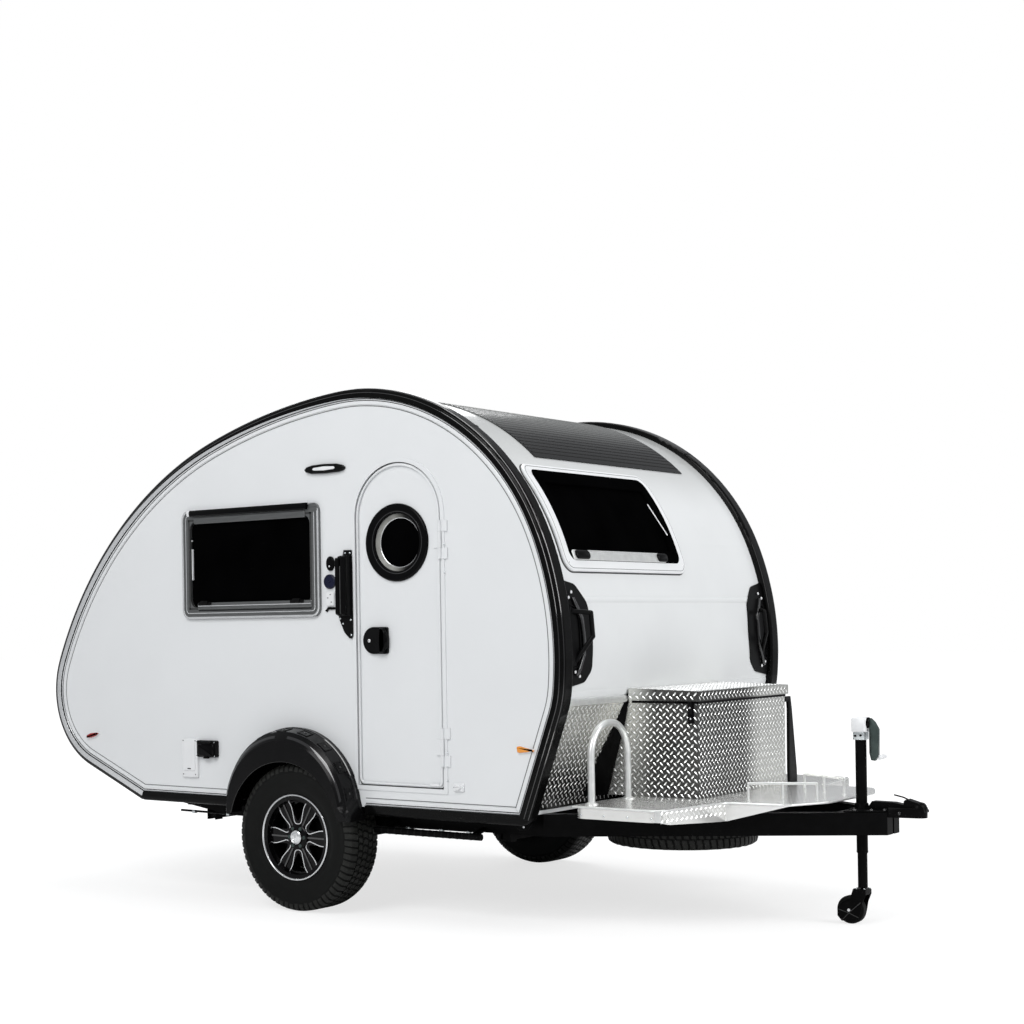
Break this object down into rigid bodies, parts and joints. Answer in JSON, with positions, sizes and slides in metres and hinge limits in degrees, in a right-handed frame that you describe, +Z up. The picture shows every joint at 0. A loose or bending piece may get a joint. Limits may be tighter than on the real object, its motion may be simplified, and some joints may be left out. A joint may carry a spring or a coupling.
{
  "type": "teardrop travel trailer",
  "caption": "Teardrop travel trailer with a rounded cabin, arched entry door with porthole, tread-plate tongue tub and deck, flared wheel arches and a caster jack.",
  "frame": {"origin": "on the ground under the middle of the length and width", "axes": "+X towards the hitch, +Y towards the road side, +Z up"},
  "size_m": [4.6016, 2.412, 2.5629],
  "materials": {
    "floor_board": "matte",
    "side_panel": "gloss",
    "curved_panel": "satin",
    "black_moulding": "satin",
    "black_plastic": "satin",
    "tread_plate": "polished",
    "porthole_black": "gloss",
    "window_frame": "satin",
    "white_frame": "gloss",
    "dark_glass": "gloss",
    "solar_film": "satin",
    "vent_white": "satin",
    "fender_black": "gloss",
    "tire_rubber": "matte",
    "wheel_black": "gloss",
    "frame_black": "satin",
    "zinc_steel": "satin",
    "caster_rubber": "matte",
    "lamp_lens": "gloss"
  },
  "bodies": {
    "trailer": {"floor": "floor_board", "side_wall_right": "side_panel", "side_wall_left": "side_panel", "front_skin": "curved_panel", "roof_skin": "curved_panel", "rear_skin": "curved_panel", "edge_trim_left": "black_moulding", "edge_trim_right": "black_moulding", "grab_handles": "black_plastic", "wall_fittings": "black_plastic", "rock_guard": "tread_plate", "window_frame_left": "window_frame", "window_frame_right": "window_frame", "window_pane_left": "dark_glass", "window_pane_right": "dark_glass", "window_frame_front": "white_frame", "window_pane_front": "dark_glass", "rear_window": "dark_glass", "solar_panel": "solar_film", "fender_left": "fender_black", "fender_right": "fender_black", "axle": "frame_black", "chassis": "frame_black", "coupler": "frame_black", "jack_tube": "zinc_steel", "front_tub": "tread_plate", "front_deck": "tread_plate", "spare_wheel": "tire_rubber", "lamps": "lamp_lens"},
    "wheel_left": {"tire_left": "tire_rubber", "rim_left": "wheel_black"},
    "wheel_right": {"tire_right": "tire_rubber", "rim_right": "wheel_black"},
    "door": {"entry_door": "side_panel", "door_porthole": "porthole_black", "door_latch": "black_plastic"},
    "lid": {"tub_lid": "tread_plate"},
    "vent": {"roof_vent_lid": "vent_white"},
    "jack_slide": {"jack_leg": "zinc_steel"},
    "caster": {"caster_fork": "zinc_steel"},
    "caster_roller": {"caster_wheel": "caster_rubber"},
    "leg_front_left": {"stabilizer_front_left": "frame_black"},
    "leg_front_right": {"stabilizer_front_right": "frame_black"},
    "leg_rear_left": {"stabilizer_rear_left": "frame_black"},
    "leg_rear_right": {"stabilizer_rear_right": "frame_black"}
  },
  "joints": [
    {"name": "wheel_left_spin", "type": "hinge", "parent": "trailer", "child": "wheel_left", "pos_m": [-0.4472, 1.066, 0.367], "axis": [0, 1, 0], "continuous": true},
    {"name": "wheel_right_spin", "type": "hinge", "parent": "trailer", "child": "wheel_right", "pos_m": [-0.4472, -1.066, 0.367], "axis": [0, 1, 0], "continuous": true},
    {"name": "door_hinge", "type": "hinge", "parent": "trailer", "child": "door", "pos_m": [0.3988, -1.078, 1.4], "axis": [0, 0, 1], "range_deg": [0, 160]},
    {"name": "tub_lid_hinge", "type": "hinge", "parent": "trailer", "child": "lid", "pos_m": [1.04377, 0, 1.088], "axis": [0, -1, 0], "range_deg": [0, 70]},
    {"name": "roof_vent_hinge", "type": "hinge", "parent": "trailer", "child": "vent", "pos_m": [-0.9812, 0, 2.40899], "axis": [0, -1, 0], "range_deg": [0, 55]},
    {"name": "jack_raise", "type": "slide", "parent": "trailer", "child": "jack_slide", "axis": [0, 0, 1], "range_m": [0, 0.15]},
    {"name": "caster_swivel", "type": "hinge", "parent": "jack_slide", "child": "caster", "pos_m": [1.9928, 0, 0.15], "axis": [0, 0, 1], "continuous": true},
    {"name": "caster_roll", "type": "hinge", "parent": "caster", "child": "caster_roller", "pos_m": [1.9378, 0, 0.065], "axis": [0, 1, 0], "continuous": true},
    {"name": "leg_front_left_swing", "type": "hinge", "parent": "trailer", "child": "leg_front_left", "pos_m": [0.5628, 0.786, 0.395], "axis": [1, 0, 0], "range_deg": [0, 75]},
    {"name": "leg_front_right_swing", "type": "hinge", "parent": "trailer", "child": "leg_front_right", "pos_m": [0.5628, -0.786, 0.395], "axis": [-1, 0, 0], "range_deg": [0, 75]},
    {"name": "leg_rear_left_swing", "type": "hinge", "parent": "trailer", "child": "leg_rear_left", "pos_m": [-1.3522, 0.786, 0.395], "axis": [1, 0, 0], "range_deg": [0, 75]},
    {"name": "leg_rear_right_swing", "type": "hinge", "parent": "trailer", "child": "leg_rear_right", "pos_m": [-1.3522, -0.786, 0.395], "axis": [-1, 0, 0], "range_deg": [0, 75]}
  ]
}
